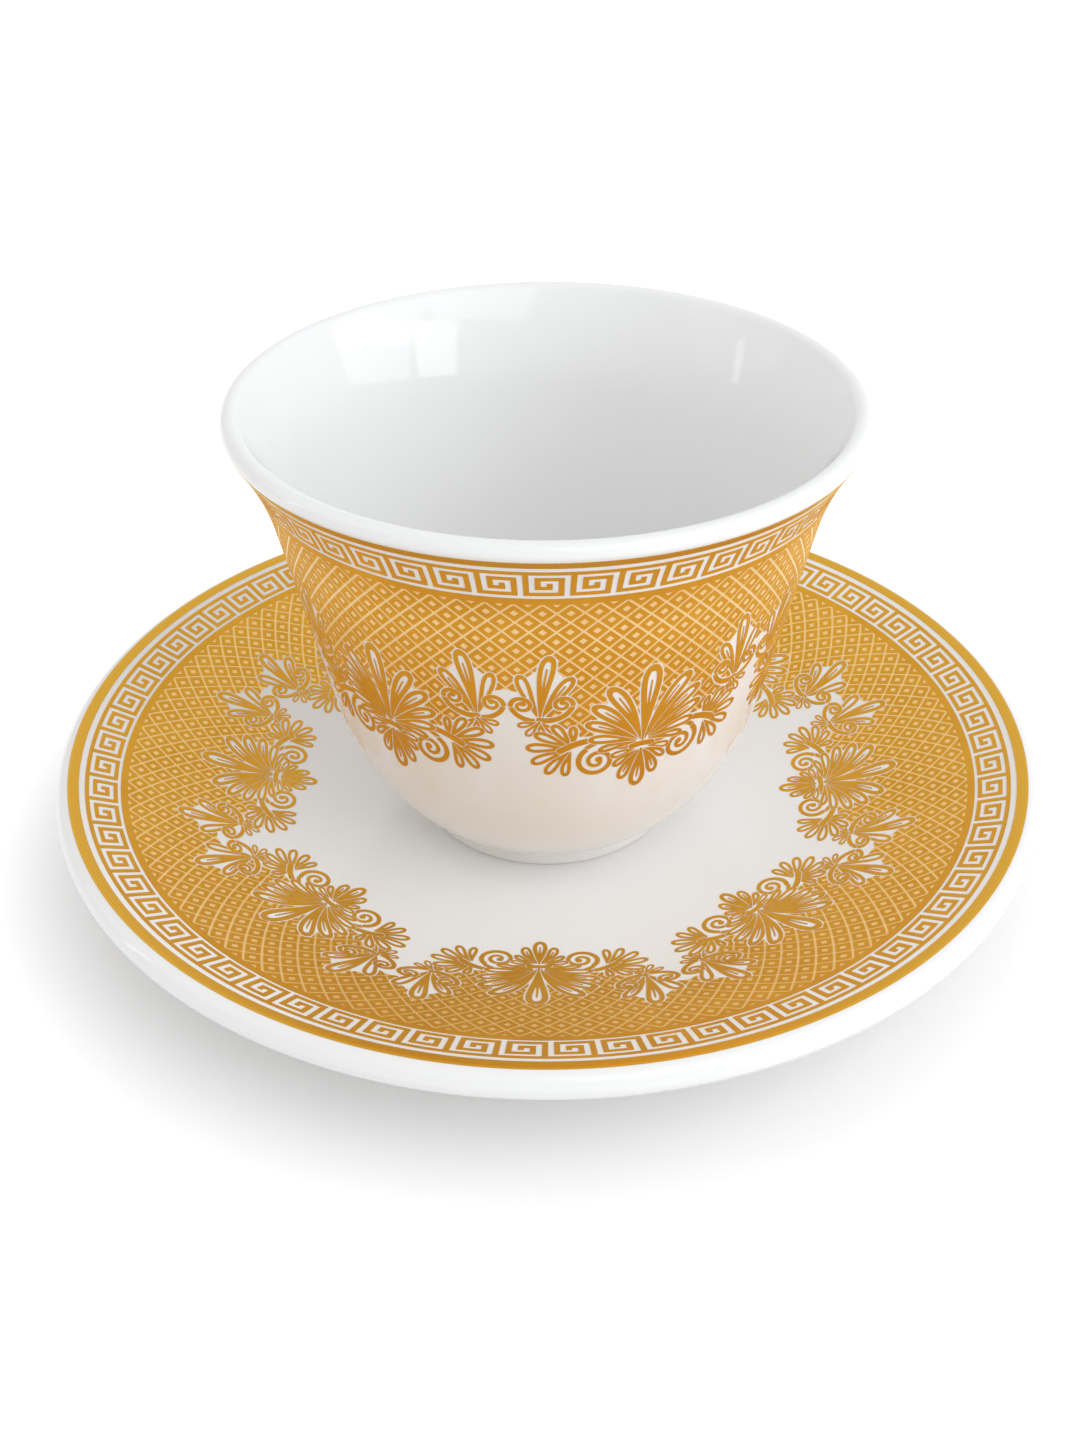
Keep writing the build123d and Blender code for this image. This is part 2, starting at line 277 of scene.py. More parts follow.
def cup_profile(part):
    """The cup's section, from the middle of its underside, up outside and down to the inside floor."""
    size = part.size
    foot_out = size.foot / 2
    foot_in = foot_out - size.foot_width
    edge = size.foot_edge
    base = part.foot_corner[1]
    flare_to = unit(part.lip_centre - part.flare_centre)
    crown = part.lip_centre + vec(flare_to[1], -flare_to[0]) * part.lip
    lip_out = part.lip_centre - flare_to * part.lip
    lip_in = part.lip_centre + flare_to * part.lip
    flare_in = part.flare_centre - part.out * (size.flare + size.wall)
    belly_in = part.belly_centre + part.out * (size.belly - size.wall)
    floor_z = part.stand + size.floor_height
    rise = floor_z + size.floor_round - part.belly_centre[1]
    room = size.belly - size.wall - size.floor_round
    floor_centre = vec(part.belly_centre[0] + sqrt(room ** 2 - rise ** 2), floor_z + size.floor_round)
    floor_end = part.belly_centre + unit(floor_centre - part.belly_centre) * (size.belly - size.wall)
    return np.concatenate([
        [vec(0, base), vec(foot_in, base)],
        arc(vec(foot_in + edge, part.stand + edge), vec(foot_in, part.stand + edge),
            vec(foot_in + edge, part.stand), EDGE_STEPS),
        arc(vec(foot_out - edge, part.stand + edge), vec(foot_out - edge, part.stand),
            vec(foot_out, part.stand + edge), EDGE_STEPS),
        [vec(foot_out, base)],
        arc(part.belly_centre, part.foot_corner, part.belly_end, BELLY_STEPS),
        arc(part.flare_centre, part.flare_start, lip_out, FLARE_STEPS),
        arc(part.lip_centre, lip_out, crown, LIP_STEPS)[1:],
        arc(part.lip_centre, crown, lip_in, LIP_STEPS)[1:],
        arc(part.flare_centre, lip_in, flare_in, FLARE_STEPS)[1:],
        arc(part.belly_centre, belly_in, floor_end, INSIDE_STEPS),
        arc(floor_centre, floor_end, vec(floor_centre[0], floor_z), FLOOR_STEPS)[1:],
        [vec(0, floor_z)],
    ])


def cup_outside(part, height):
    """Radius of the cup's outside at heights above the table, and the way out from it."""
    size = part.size
    belly = part.belly_centre
    flare = part.flare_centre
    stretches = [height < part.belly_end[1], height > part.flare_start[1]]
    round_r = belly[0] + np.sqrt(np.maximum(size.belly ** 2 - (height - belly[1]) ** 2, 0))
    hollow_r = flare[0] - np.sqrt(np.maximum(size.flare ** 2 - (height - flare[1]) ** 2, 0))
    span = part.flare_start - part.belly_end
    wall_r = part.belly_end[0] + (height - part.belly_end[1]) * span[0] / span[1]
    radius = np.select(stretches, [round_r, hollow_r], wall_r)
    out_r = np.select(
        stretches, [(radius - belly[0]) / size.belly, (flare[0] - radius) / size.flare], part.out[0])
    out_z = np.select(
        stretches, [(height - belly[1]) / size.belly, (flare[1] - height) / size.flare], part.out[1])
    return radius, height, out_r, out_z


def saucer_top(part, radius):
    """Height of the saucer's top face at radii from its axis, and the way up from it."""
    size = part.size
    bend = part.bend_centre
    roll = part.roll_centre
    stretches = [radius < bend[0], radius < part.slope_start[0], radius < part.slope_end[0]]
    bend_z = bend[1] - np.sqrt(np.maximum(size.bend ** 2 - (radius - bend[0]) ** 2, 0))
    slope_z = part.slope_start[1] + (radius - part.slope_start[0]) * tan(part.slope)
    roll_z = roll[1] + np.sqrt(np.maximum(part.roll ** 2 - (radius - roll[0]) ** 2, 0))
    height = np.select(stretches, [size.well, bend_z, slope_z], roll_z)
    out_r = np.select(
        stretches, [0.0, (bend[0] - radius) / size.bend, part.up[0]], (radius - roll[0]) / part.roll)
    out_z = np.select(
        stretches, [1.0, (bend[1] - height) / size.bend, part.up[1]], (height - roll[1]) / part.roll)
    return radius, height, out_r, out_z


# Meshes

CUP_SEGMENTS = 288      # faces round the cup
SAUCER_SEGMENTS = 336   # faces round the saucer
ON_AXIS = 1e-6          # radius in millimetres under which a point of a section lies on the axis
SHARP = 40              # angle in degrees from which an edge of the porcelain stays sharp


def shown(name, mesh, material, body, cad_node):
    """A finished piece: it moves with its body and stands for its CAD node."""
    piece = bpy.data.objects.new(name, mesh)
    bpy.context.scene.collection.objects.link(piece)
    piece.data.materials.append(material)
    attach(piece, body)
    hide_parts(cad_node)


def turned(section, segments):
    """Points and faces of a section turned about the axis, which it meets at both ends."""
    angles = 2 * pi * np.arange(segments) / segments
    points, starts = [], []
    for radius, height in section:
        starts.append(len(points))
        ring = angles if radius > ON_AXIS else angles[:1]
        points += [(radius * cos(a), radius * sin(a), height) for a in ring]
    starts.append(len(points))
    faces = []
    for here in range(len(section) - 1):
        there = here + 1
        for k in range(segments):
            corners = []
            for ring, place in ((here, k), (here, k + 1), (there, k + 1), (there, k)):
                size = starts[ring + 1] - starts[ring]
                corner = starts[ring] + place % size
                if corner not in corners:
                    corners.append(corner)
            faces.append(corners)
    return np.array(points), faces


def mesh_of(name, points, faces):
    """A smooth mesh from points in millimetres, facing out, with its sharp edges kept."""
    mesh = bpy.data.meshes.new(name)
    mesh.from_pydata((np.asarray(points) * MM).tolist(), [], faces)
    work = bmesh.new()
    work.from_mesh(mesh)
    bmesh.ops.recalc_face_normals(work, faces=work.faces)
    work.to_mesh(mesh)
    work.free()
    mesh.polygons.foreach_set("use_smooth", [True] * len(mesh.polygons))
    mesh.set_sharp_from_angle(angle=radians(SHARP))
    mesh.update()
    return mesh


class Films:
    """Gold films collected into one mesh, each a thin closed solid that stands a little above the glaze.

    Way is 1 where a sheet's right goes with the angle round the axis, and -1 where it goes against it."""

    def __init__(self, face, way, relief, root):
        self.face = face
        self.way = way
        self.lifts = (relief, -root)
        self.points, self.normals, self.faces = [], [], []
        self.total = 0

    def lay(self, angle, across, triangles, edges):
        """Adds one film from places on the glaze, its triangles and the edges round it."""
        radius, height, out_r, out_z = self.face(across)
        places = len(angle)
        for lift in self.lifts:
            r = radius + lift * out_r
            self.points.append(np.stack([r * np.cos(angle), r * np.sin(angle), height + lift * out_z], 1))
            self.normals.append(np.stack([out_r * np.cos(angle), out_r * np.sin(angle), out_z], 1))
        top = np.asarray(triangles) + self.total
        side = np.asarray(edges) + self.total
        self.faces += top.tolist()
        self.faces += (top[:, ::-1] + places).tolist()
        walls = np.stack([side[:, 1], side[:, 0], side[:, 0] + places, side[:, 1] + places], 1)
        self.faces += walls.tolist()
        self.total += 2 * places

    def ring(self, low, high, segments):
        """Adds a plain band right round, between two places across the glaze."""
        rows = np.linspace(low, high, max(2, ceil((high - low) / RING_ROW) + 1))
        angle = np.tile(self.way * 2 * pi * np.arange(segments) / segments, len(rows))
        across = np.repeat(rows, segments)
        quads = [
            (r * segments + k, r * segments + (k + 1) % segments,
             (r + 1) * segments + (k + 1) % segments, (r + 1) * segments + k)
            for r in range(len(rows) - 1) for k in range(segments)
        ]
        last = (len(rows) - 1) * segments
        edges = [(k, (k + 1) % segments) for k in range(segments)]
        edges += [(last + (k + 1) % segments, last + k) for k in range(segments)]
        self.lay(angle, across, quads, edges)

    def mesh(self, name):
        """The collected films as a mesh that is shaded as smoothly as the glaze under it."""
        points = np.concatenate(self.points)
        normals = np.concatenate(self.normals)
        mesh = bpy.data.meshes.new(name)
        mesh.from_pydata((points * MM).tolist(), [], self.faces)
        mesh.polygons.foreach_set("use_smooth", [True] * len(mesh.polygons))
        mesh.update()
        mesh.normals_split_custom_set_from_vertices(normals.tolist())
        return mesh


# Drawings of the gold, in millimetres on a flat sheet that is wrapped on the glaze afterwards

STEP = 0.06         # spacing of the sheet's grid
FAR = 9.0           # a distance that is well outside every stroke
MARGIN = 8.0        # how much of the neighbouring repeats is drawn beside a repeat
SEAM = 0.37         # how far inside a sheet's edge whole patches pass to the next repeat
FINEST = 0.06       # smallest speck of gold that is kept, in square millimetres
STRAIGHT = 0.008    # how far a thinned outline may stray
LONGEST = 0.7       # longest straight stretch on the round glaze
MOST = 40           # most points of an outline that one straight stretch stands for
FILL = 0.9          # spacing of points inside a wide patch of gold
RING_ROW = 1.0      # widest row of faces in a plain band
REPEAT = 29.3       # width of one repeat of the garland
GARLAND_TOP = 26.85  # height of the sheet, from the pendant's tip to the plain strip over the lattice
SPARE = 0.6         # empty sheet below the pendant's tip and above the lattice
LEAF_GAP = 0.12     # slit between two leaves
REPEAT_GAP = 0.07   # half of the slit between two repeats of the garland
GROUND = 0.85       # share of a fan's reach that is bare between its leaves
THINNEST = 0.14     # least half width of a leaf
EDGE = 0.56         # gold edge of a leaf, as a share of its half width
HEART = (0.42, 0.9)  # stretch of a leaf whose heart is open, as shares of its length
LEAST_HEART = 0.05  # least half width of an open heart
RIBBED = 0.72       # half width from which a leaf has a rib
RIB = (0.3, 0.8)    # stretch of the leaf that has the rib
RIB_HALVES = (0.16, 0.09)  # half width of the rib at its start and its end


class Sheet:
    """One repeat of a pattern as distances to the gold's edge, negative in the gold.

    x = 0 is the middle of a pendant, and the right edge goes on at the left one. The ground takes in the
    strokes with their open hearts and what is bare between the leaves of the fans."""

    def __init__(self, width, low, high):
        self.width = width
        self.columns = round(width / STEP)
        self.x = width * (np.arange(self.columns) / self.columns - 0.5)
        self.y = np.arange(low, high, STEP)
        self.gold = np.full((len(self.y), self.columns), FAR)
        self.ground = np.full((len(self.y), self.columns), FAR)

    def near(self, path, halves):
        """The part of the sheet near a stroke, and the distance to the stroke's edge there."""
        room = halves.max() + 1.0
        low = path.min(0) - room
        high = path.max(0) + room
        first = floor((low[0] - self.x[0]) / STEP)
        columns = np.arange(first, floor((high[0] - self.x[0]) / STEP) + 2)
        rows = np.flatnonzero((self.y > low[1]) & (self.y < high[1]))
        x = self.x[0] + columns * self.width / self.columns
        y = self.y[rows][:, None]
        distance = np.full((len(rows), len(columns)), FAR)
        for (place_x, place_y), half in zip(path, halves):
            np.minimum(distance, np.hypot(x - place_x, y - place_y) - half, out=distance)
        return np.ix_(rows, columns % self.columns), distance

    def paint(self, path, halves, halo=0.0):
        """Paints a stroke, with a bare halo round it."""
        area, distance = self.near(path, halves)
        if halo:
            self.gold[area] = np.maximum(self.gold[area], halo - distance)
        self.gold[area] = np.minimum(self.gold[area], distance)
        self.ground[area] = np.minimum(self.ground[area], distance)

    def scrape(self, path, halves):
        """Scrapes a stroke back to the glaze."""
        area, distance = self.near(path, halves)
        self.gold[area] = np.maximum(self.gold[area], -distance)


def curve(*handles):
    """Points of a smooth curve from the first handle to the last."""
    share = np.linspace(0, 1, 60)[:, None]
    rows = [np.array(handle, float) + 0 * share for handle in handles]
    while len(rows) > 1:
        rows = [a * (1 - share) + b * share for a, b in zip(rows, rows[1:])]
    return rows[0]


def spiral(centre, start, turns, wide, narrow):
    """Points of a spiral from a start angle in degrees, turning in from its wide end."""
    share = np.linspace(0, 1, 90)
    angle = radians(start) + 2 * pi * turns * share
    radius = wide + (narrow - wide) * share
    return np.stack([centre[0] + radius * np.cos(angle), centre[1] + radius * np.sin(angle)], 1)


def petal(sheet, side, hub, heading, reach, half, bend=0.0, line=0.4):
    """A leaf from a hub along a heading in degrees, bent aside, with an open heart and, if wide, a rib.

    Line is the least width of the gold round the open heart."""
    middle = vec(*hub) + 0.55 * reach * vec(cos(radians(heading)), sin(radians(heading)))
    tip = vec(*hub) + reach * vec(cos(radians(heading + bend)), sin(radians(heading + bend)))
    path = curve(hub, middle, tip) * side
    share = np.linspace(0, 1, len(path))
    # Slim at the hub, widest at about three quarters of its length and round at the tip
    halves = half * share ** 0.85 * np.sqrt(1 - share ** 6) / 0.72
    sheet.paint(path, np.maximum(halves, THINNEST), LEAF_GAP)
    edge = max(line, EDGE * half)
    opened = (share > HEART[0]) & (share < HEART[1]) & (halves > edge + LEAST_HEART)
    if opened.any():
        sheet.scrape(path[opened], halves[opened] - edge)
    if half > RIBBED:
        rib = path[(share > RIB[0]) & (share < RIB[1])]
        sheet.paint(rib, np.linspace(*RIB_HALVES, len(rib)))


def fan(sheet, side, hub, lobes, bend, line=0.4):
    """Leaves from one hub, given by heading, reach and half width, on bare ground of their own."""
    for heading, reach, half in lobes:
        petal(sheet, side, hub, heading, reach, half, bend, line)
    x = (sheet.x * side[0] - hub[0] + sheet.width / 2) % sheet.width - sheet.width / 2
    y = sheet.y[:, None] - hub[1]
    headings, reaches = zip(*sorted((heading + bend, reach) for heading, reach, _ in lobes))
    reach = np.interp(np.degrees(np.arctan2(y, x)), headings, reaches, left=0, right=0)
    sheet.ground = np.minimum(sheet.ground, np.hypot(x, y) - GROUND * reach)


def stem(sheet, side, path, start, end):
    """A stroke whose half width goes from start to end, set off by a slit from what it crosses."""
    sheet.paint(path * side, np.linspace(start, end, len(path)), LEAF_GAP)


def scroll(sheet, side, centre, start, turns, wide, half):
    """A spiral stroke that ends in a bead."""
    path = spiral(centre, start, turns, wide, 0.3)
    stem(sheet, side, path, half, 0.6 * half)
    sheet.paint(path[-1:] * side, np.array([1.3 * half]))


# Leaves of the fans: heading in degrees, reach and half width
BAY_SPRAY = ((116, 6.6, 0.74), (70, 6.4, 0.7), (94, 8.8, 0.84))
BAY_BUD = ((222, 2.4, 0.46), (345, 2.2, 0.44), (262, 2.3, 0.46), (304, 2.3, 0.46))
SIDE_SPRAY = (
    (98, 3.2, 0.52), (-74, 3.9, 0.6), (68, 4.0, 0.62), (-46, 4.4, 0.66), (38, 4.4, 0.68), (-18, 4.6, 0.7),
    (10, 4.7, 0.72))
PALMETTE = ((2, 4.8, 0.56), (20, 6.0, 0.68), (38, 7.2, 0.78), (55, 8.2, 0.86), (72, 9.2, 0.94))
HUSK = ((-18, 3.4, 0.56), (-50, 4.3, 0.74))


def draw_garland(sheet):
    """Palmettes on leafy scrolls, with a husk under each and leaf sprays over the bays between."""
    for way in (1.0, -1.0):
        side = vec(way, 1.0)
        fan(sheet, side, (11.4, 11.0), BAY_SPRAY, 3)
        stem(sheet, side, curve((11.0, 10.9), (12.6, 10.6), (14.2, 11.6), (14.3, 13.0)), 0.3, 0.26)
        scroll(sheet, side, (13.15, 13.0), 0, 1.3, 1.15, 0.26)
        stem(sheet, side, curve((11.4, 11.0), (9.6, 10.6), (8.1, 11.9), (8.0, 13.2)), 0.36, 0.26)
        scroll(sheet, side, (9.05, 13.2), 180, -1.25, 1.05, 0.26)
        fan(sheet, side, (11.4, 10.7), BAY_BUD, 0, 0.26)
        fan(sheet, side, (8.0, 6.6), SIDE_SPRAY, -7)
        stem(sheet, side, curve((0.5, 5.9), (3.0, 6.4), (4.0, 8.8), (7.0, 7.9), (9.2, 6.4)), 0.3, 0.42)
        stem(sheet, side, curve((2.0, 7.0), (4.0, 7.6), (6.0, 7.4), (6.55, 6.2)), 0.2, 0.3)
        scroll(sheet, side, (5.1, 4.5), 50, -1.75, 2.2, 0.32)
        fan(sheet, side, (0.3, 5.8), ((8, 3.3, 0.5), (-22, 3.2, 0.5)), 6, 0.3)
        fan(sheet, side, (0.15, 6.6), PALMETTE, -9)
        fan(sheet, side, (0.1, 5.2), HUSK, -14)
    middle = vec(1.0, 1.0)
    petal(sheet, middle, (0, 6.6), 90, 10.4, 1.1, line=0.44)
    petal(sheet, middle, (0, 5.2), -90, 5.2, 1.0)
    stem(sheet, middle, curve((-1.2, 5.9), (0, 6.2), (1.2, 5.9)), 0.36, 0.36)
    edge = np.abs(np.abs(sheet.x) - sheet.width / 2)
    sheet.gold = np.maximum(sheet.gold, REPEAT_GAP - edge)


# Lower edge of the lattice, from the middle of a pendant to the middle of a bay
LATTICE_FOOT = ((0, 8.0), (7.0, 8.4), (8.6, 9.0), (10.4, 10.6), (12.0, 14.6), (REPEAT / 2, 15.2))


def draw_wash(sheet, garland, halo):
    """The area of the lattice: down to the garland and clear of it."""
    x, y = np.meshgrid(sheet.x, sheet.y)
    low = np.interp(np.abs(x), *zip(*LATTICE_FOOT))
    sheet.gold = np.maximum.reduce([low - y, halo - garland.ground, y - GARLAND_TOP])


def draw_lattice(sheet, wash, gold, diamonds, pitch):
    """Gold diamonds in that area, with a line between them and a small diamond left open in each."""
    wide = sheet.width / diamonds
    x, y = np.meshgrid(sheet.x, sheet.y)
    up = x / wide + (y - GARLAND_TOP) / pitch
    down = x / wide - (y - GARLAND_TOP) / pitch
    from_middle = np.maximum(np.abs(up - np.round(up)), np.abs(down - np.round(down)))
    scale = np.hypot(1 / wide, 1 / pitch)
    apart = gold.line / 2 - (0.5 - from_middle) / scale
    opened = gold.dot - from_middle / scale
    sheet.gold = np.maximum.reduce([wash.gold, apart, opened])


KEY_CELLS = 8       # cells across one key, and from the key's foot to the top of the running line
KEY_PATH = ((0, 1), (0, 7), (6, 7), (6, 2), (2, 2), (2, 5), (4, 5), (4, 4))  # cells from the top left
KEY_END = 7.5       # cells up to where a key ends, inside the running line


def draw_key(sheet):
    """One key, as the path of a bar one cell wide that winds in from the running line above it.

    Here the sheet's height is in cells, since the band is set to its width afterwards."""
    x = (sheet.x / sheet.width + 0.5)[None, :] * KEY_CELLS
    y = KEY_CELLS - sheet.y[:, None]
    cell = sheet.width / KEY_CELLS
    for (x0, y0), (x1, y1) in zip(KEY_PATH, KEY_PATH[1:]):
        middle_x = (x0 + x1 + 1) / 2
        middle_y = (y0 + y1 + 1) / 2
        over_x = np.abs(x - middle_x) - (abs(x1 - x0) + 1) / 2
        over_y = np.abs(y - middle_y) - (abs(y1 - y0) + 1) / 2
        sheet.gold = np.minimum(sheet.gold, np.maximum(over_x, over_y) * cell)


def outlines(field):
    """Closed loops where a field crosses zero, as (column, row) points."""
    inside = field < 0
    places, links = {}, {}
    corners_in = inside[:-1, :-1] * 1 + inside[:-1, 1:] + inside[1:, 1:] + inside[1:, :-1]
    for row, column in np.argwhere((corners_in > 0) & (corners_in < 4)):
        corners = ((row, column), (row, column + 1), (row + 1, column + 1), (row + 1, column))
        crossed = []
        for start, end in zip(corners, corners[1:] + corners[:1]):
            if inside[start] != inside[end]:
                name = (min(start, end), max(start, end))
                if name not in places:
                    share = field[start] / (field[start] - field[end])
                    places[name] = (start[1] + share * (end[1] - start[1]),
                                    start[0] + share * (end[0] - start[0]))
                crossed.append(name)
        middle_in = field[row:row + 2, column:column + 2].mean() < 0
        if len(crossed) == 4 and middle_in == inside[row, column]:
            crossed = crossed[1:] + crossed[:1]
        for a, b in zip(crossed[::2], crossed[1::2]):
            links.setdefault(a, []).append(b)
            links.setdefault(b, []).append(a)
    loops = []
    while links:
        start = next(iter(links))
        loop = [start]
        here = start
        while links.get(here):
            there = links[here].pop()
            links[there].remove(here)
            if not links[here]:
                del links[here]
            here = there
            loop.append(here)
        links.pop(here, None)
        loops.append(np.array([places[name] for name in loop[:-1]]))
    return loops


def thinned(loop):
    """A loop with only the points that its shape needs."""
    kept = [0]
    last = 0
    total = len(loop)
    while last < total:
        best = last + 1
        for ahead in range(last + 2, min(last + MOST, total + 1)):
            chord = loop[ahead % total] - loop[last]
            size = np.hypot(*chord)
            if size > LONGEST:
                break
            between = loop[last + 1:ahead] - loop[last]
            stray = np.abs(between[:, 0] * chord[1] - between[:, 1] * chord[0]) / max(size, 1e-9)
            if stray.max() > STRAIGHT:
                break
            best = ahead
        last = best
        if last < total:
            kept.append(last)
    return loop[kept]


def sampled(field, column, row):
    """A field's value between its grid points."""
    c = np.clip(np.floor(column).astype(int), 0, field.shape[1] - 2)
    r = np.clip(np.floor(row).astype(int), 0, field.shape[0] - 2)
    u = column - c
    v = row - r
    low = field[r, c] * (1 - u) + field[r, c + 1] * u
    high = field[r + 1, c] * (1 - u) + field[r + 1, c + 1] * u
    return low * (1 - v) + high * v


def islands(triangles, points):
    """For each triangle, the number of the patch of joined triangles that it is in."""
    group = np.arange(points)
    while True:
        least = group[triangles].min(1)
        new = group.copy()
        np.minimum.at(new, triangles.ravel(), np.repeat(least, 3))
        new = new[new]
        if (new == group).all():
            return group[triangles[:, 0]]
        group = new


def rim_of(triangles):
    """The edges that only one triangle has, in that triangle's direction."""
    sides = np.concatenate([triangles[:, (0, 1)], triangles[:, (1, 2)], triangles[:, (2, 0)]])
    _, where, times = np.unique(np.sort(sides, 1), axis=0, return_index=True, return_counts=True)
    return sides[where[times == 1]]


def cut_out(sheet, margin=MARGIN):
    """The gold of one repeat as points on the sheet, triangles and the edges round them.

    The margin shows patches that cross the sheet's edge whole. With none, they are cut there."""
    beside = min(round(margin / STEP), 2 * sheet.columns)
    wrapped = np.arange(-beside, sheet.columns + beside + 1) % sheet.columns
    field = np.pad(sheet.gold[:, wrapped], 1, constant_values=FAR)
    step_x = sheet.width / sheet.columns
    points, edges = [], []
    for loop in outlines(field):
        loop = thinned((loop - 1) * vec(step_x, STEP))
        if len(loop) > 2:
            first = len(points)
            points += loop.tolist()
            edges += [(first + k, first + (k + 1) % len(loop)) for k in range(len(loop))]
    gap = round(FILL / STEP)
    fill = np.argwhere(field[::gap, ::gap] < -FILL / 3) * gap - 1
    points += (fill[:, ::-1] * vec(step_x, STEP)).tolist()
    found = delaunay_2d_cdt([Vector(p) for p in points], edges, [], 0, 1e-6)
    places = np.array([tuple(p) for p in found[0]])
    triangles = np.array(found[2])
    middle = places[triangles].mean(1)
    triangles = triangles[sampled(field, middle[:, 0] / step_x + 1, middle[:, 1] / STEP + 1) < 0]
    places = places + vec(-sheet.width / 2 - beside * step_x, sheet.y[0])
    a, b, c = (places[triangles[:, k]] for k in range(3))
    area = np.abs((b - a)[:, 0] * (c - a)[:, 1] - (b - a)[:, 1] * (c - a)[:, 0]) / 2
    patch = islands(triangles, len(places))
    patch_area = np.bincount(patch, area, len(places))
    moment = np.bincount(patch, area * (a + b + c)[:, 0] / 3, len(places))
    patch_x = moment / np.maximum(patch_area, 1e-12)
    first = (SEAM if margin else 0.0) - sheet.width / 2
    own = (patch_area > FINEST) & (patch_x >= first) & (patch_x < first + sheet.width)
    used, triangles = np.unique(triangles[own[patch]], return_inverse=True)
    triangles = triangles.reshape(-1, 3)
    return places[used], triangles, rim_of(triangles)


def wrap(films, cut, width, repeats, start, low, scale):
    """Lays a cut-out round the glaze. Low and scale place the sheet across it."""
    points, triangles, edges = cut
    for number in range(repeats):
        angle = start + films.way * 2 * pi / repeats * (points[:, 0] / width + number)
        films.lay(angle, low + points[:, 1] * scale, triangles, edges)


# Finishes

PAINTED_GLOW_RAMP = (0.05, 0.085)  # metres from the middle over which the painted glow on the table rises from its near to its far strength
PAINTED_TABLE_GLOW = (0.03, 0.5)    # painted glow that the eye sees on the table nearer and farther than those: painted light that whitens the table and its shadows away from the saucer


def node(tree, kind, inputs=None, **settings):
    """Adds a node with its settings. An input is a value, or a socket to link."""
    made = tree.nodes.new(kind)
    for name, value in settings.items():
        setattr(made, name, value)
    for name, value in (inputs or {}).items():
        if isinstance(value, bpy.types.NodeSocket):
            tree.links.new(value, made.inputs[name])
        else:
            made.inputs[name].default_value = value
    return made


def surface(name):
    """An empty material with its tree and coordinates in metres."""
    material = bpy.data.materials.new(name)
    material.use_nodes = True
    tree = material.node_tree
    tree.nodes.clear()
    place = node(tree, "ShaderNodeTexCoord").outputs["Object"]
    return material, tree, place


def per_mm(size):
    """Texture scale that gives features of a size in millimetres."""
    return 1 / (size * MM)


def glazed_porcelain(finish):
    """White porcelain under clear glaze: bright and glossy, with the slow waves of a fired glaze."""
    material, tree, place = surface("glazed_porcelain")
    pool = node(tree, "ShaderNodeTexNoise", {"Vector": place, "Scale": per_mm(30), "Detail": 2.0})
    white = node(tree, "ShaderNodeMix", {
        "Factor": pool.outputs["Fac"], "A": finish.porcelain_deep, "B": finish.porcelain,
    }, data_type="RGBA")
    wave = node(tree, "ShaderNodeTexNoise", {"Vector": place, "Scale": per_mm(9), "Detail": 1.0})
    bump = node(tree, "ShaderNodeBump", {
        "Height": wave.outputs["Fac"], "Strength": 0.05, "Distance": 0.1 * MM})
    gloss = node(tree, "ShaderNodeMapRange", {
        "Value": pool.outputs["Fac"], "To Min": 0.05, "To Max": 0.10})
    skin = node(tree, "ShaderNodeBsdfPrincipled", {
        "Base Color": white.outputs["Result"], "Roughness": gloss.outputs["Result"], "IOR": 1.5,
        "Normal": bump.outputs["Normal"]})
    node(tree, "ShaderNodeOutputMaterial", {"Surface": skin.outputs["BSDF"]})
    return material


def biscuit_porcelain(finish):
    """Bare fired porcelain where the foot ring is wiped clean: dull, chalky and faintly speckled."""
    material, tree, place = surface("biscuit_porcelain")
    # The true grain is too fine to show, so it is drawn 0.4 mm coarse
    grain = node(tree, "ShaderNodeTexNoise", {"Vector": place, "Scale": per_mm(0.4), "Detail": 3.0})
    tone = node(tree, "ShaderNodeMix", {
        "Factor": grain.outputs["Fac"], "A": finish.biscuit, "B": finish.porcelain_deep,
    }, data_type="RGBA")
    bump = node(tree, "ShaderNodeBump", {
        "Height": grain.outputs["Fac"], "Strength": 0.3, "Distance": 0.05 * MM})
    skin = node(tree, "ShaderNodeBsdfPrincipled", {
        "Base Color": tone.outputs["Result"], "Roughness": 0.85, "Normal": bump.outputs["Normal"]})
    node(tree, "ShaderNodeOutputMaterial", {"Surface": skin.outputs["BSDF"]})
    return material


def gold_print(finish):
    """Gold transfer print, fired on the glaze: a satin metal, a little uneven where the print is thin."""
    material, tree, place = surface("gold_print")
    cloud = node(tree, "ShaderNodeTexNoise", {"Vector": place, "Scale": per_mm(6), "Detail": 4.0})
    tone = node(tree, "ShaderNodeMix", {
        "Factor": cloud.outputs["Fac"], "A": finish.gold_thin, "B": finish.gold}, data_type="RGBA")
    # The print's true grain is too fine to show, so it is drawn 0.25 mm coarse
    grain = node(tree, "ShaderNodeTexNoise", {"Vector": place, "Scale": per_mm(0.25), "Detail": 2.0})
    satin = node(tree, "ShaderNodeMapRange", {
        "Value": grain.outputs["Fac"], "To Min": 0.52, "To Max": 0.64})
    bump = node(tree, "ShaderNodeBump", {
        "Height": grain.outputs["Fac"], "Strength": 0.15, "Distance": 0.03 * MM})
    skin = node(tree, "ShaderNodeBsdfPrincipled", {
        "Base Color": tone.outputs["Result"], "Metallic": 1.0, "Roughness": satin.outputs["Result"],
        "Normal": bump.outputs["Normal"]})
    node(tree, "ShaderNodeOutputMaterial", {"Surface": skin.outputs["BSDF"]})
    return material


